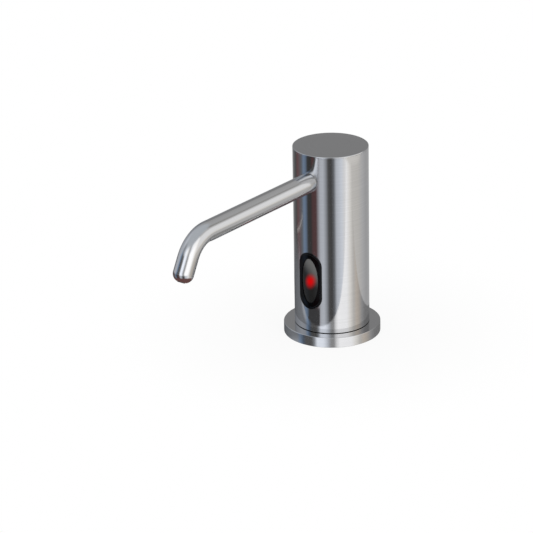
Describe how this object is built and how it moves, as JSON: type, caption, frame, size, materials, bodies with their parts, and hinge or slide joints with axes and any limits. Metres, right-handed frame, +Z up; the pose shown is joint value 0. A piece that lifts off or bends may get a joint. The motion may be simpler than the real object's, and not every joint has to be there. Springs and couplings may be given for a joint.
{
  "type": "automatic soap dispenser",
  "caption": "Deck-mounted automatic soap dispenser: a brushed steel column with a long bent spout, a flange and a sensor window, and a threaded shank below.",
  "frame": {"origin": "on the body's axis, in the plane of the deck, which is the flange's underside", "axes": "+Z up along the body's axis; the spout and the sensor window point along -Y; +X is to the right when facing the spout's back, with the spout pointing away"},
  "size_m": [0.0622, 0.1863, 0.1907],
  "materials": {
    "brushed_steel": "fine brushed stainless steel",
    "spout_steel": "brushed stainless steel, polished at the tip",
    "zinc_steel": "plain bright steel",
    "polished_steel": "ground and polished",
    "brass": "turned brass",
    "copper": "turned copper",
    "black_gloss": "black gloss plastic",
    "dark_lens": "dark infrared-clear plastic",
    "black_plastic": "black moulded plastic",
    "grey_plastic": "grey moulded plastic",
    "white_plastic": "white moulded plastic",
    "rubber": "black rubber",
    "clear_hose": "milky soft hose",
    "circuit_board": "green circuit board",
    "magnet": "dark sintered magnet",
    "lamination": "stacked steel sheets",
    "red_light": "red light-emitting diode",
    "clear_diode": "clear diode"
  },
  "bodies": {
    "dispenser": {"base_flange": "brushed_steel", "flange_gasket": "rubber", "base_ring": "rubber", "base_plug": "brass", "set_screw": "zinc_steel", "threaded_shank": "brass", "shank_end_plug": "black_plastic", "lead_grommet": "rubber", "body_shell": "brushed_steel", "spout_tube": "spout_steel", "outlet_nozzle": "black_plastic", "spout_stud": "brass", "spout_seal": "rubber", "spout_washer": "zinc_steel", "spout_nut": "brass", "sensor_bezel": "black_gloss", "sensor_lens": "dark_lens", "sensor_gasket": "rubber", "sensor_shell": "black_plastic", "optics_block": "black_plastic", "sensor_board": "circuit_board", "ir_emitter": "clear_diode", "status_light": "red_light", "ir_receiver": "black_gloss", "controller_chip": "black_plastic", "sensor_screw_top": "zinc_steel", "sensor_screw_bottom": "zinc_steel", "pump_body": "black_plastic", "pump_cover": "black_plastic", "idler_pin": "zinc_steel", "shaft_seal": "rubber", "outlet_barb": "white_plastic", "pump_cover_screw_right": "zinc_steel", "pump_cover_screw_left": "zinc_steel", "pump_mount_screw_right": "zinc_steel", "pump_mount_screw_left": "zinc_steel", "valve_seat": "white_plastic", "valve_spring": "polished_steel", "motor_can": "zinc_steel", "motor_end_cap": "black_plastic", "magnet_left": "magnet", "magnet_right": "magnet", "supply_hose": "clear_hose", "soap_hose": "clear_hose", "power_lead": "black_plastic", "motor_lead": "black_plastic"},
    "cap": {"top_cap": "brushed_steel", "cap_ring": "rubber"},
    "pump_rotor": {"motor_shaft": "polished_steel", "armature": "lamination", "commutator": "copper", "drive_gear": "grey_plastic"},
    "pump_idler": {"driven_gear": "grey_plastic"},
    "check_ball": {"valve_ball": "polished_steel"},
    "clamp": {"deck_washer": "rubber", "clamp_washer": "zinc_steel"},
    "nut": {"mounting_nut": "brass"}
  },
  "joints": [
    {"name": "cap_lift", "type": "slide", "parent": "dispenser", "child": "cap", "axis": [0, 0, 1], "range_m": [0, 0.01]},
    {"name": "rotor_spin", "type": "hinge", "parent": "dispenser", "child": "pump_rotor", "pos_m": [-0.005, 0.006, 0.03], "axis": [0, 0, 1], "continuous": true},
    {"name": "idler_spin", "type": "hinge", "parent": "dispenser", "child": "pump_idler", "pos_m": [0.005, 0.006, 0.0255], "axis": [0, 0, 1], "continuous": true},
    {"name": "ball_lift", "type": "slide", "parent": "dispenser", "child": "check_ball", "axis": [0, 0, 1], "range_m": [0, 0.0012], "stiffness_N_per_m": 20, "springref_m": -0.003, "deforming": ["valve_spring"]},
    {"name": "clamp_slide", "type": "slide", "parent": "dispenser", "child": "clamp", "axis": [0, 0, 1], "range_m": [-0.015, 0.017]},
    {"name": "nut_turn", "type": "hinge", "parent": "clamp", "child": "nut", "pos_m": [0, 0, -0.0296], "axis": [0, 0, 1], "range_deg": [-1810, 2050]}
  ],
  "couplings": [
    {"joint": "idler_spin", "follows": "rotor_spin", "ratio": -1},
    {"joint": "nut_turn", "follows": "clamp_slide", "rad_per_m": 2094.4}
  ]
}
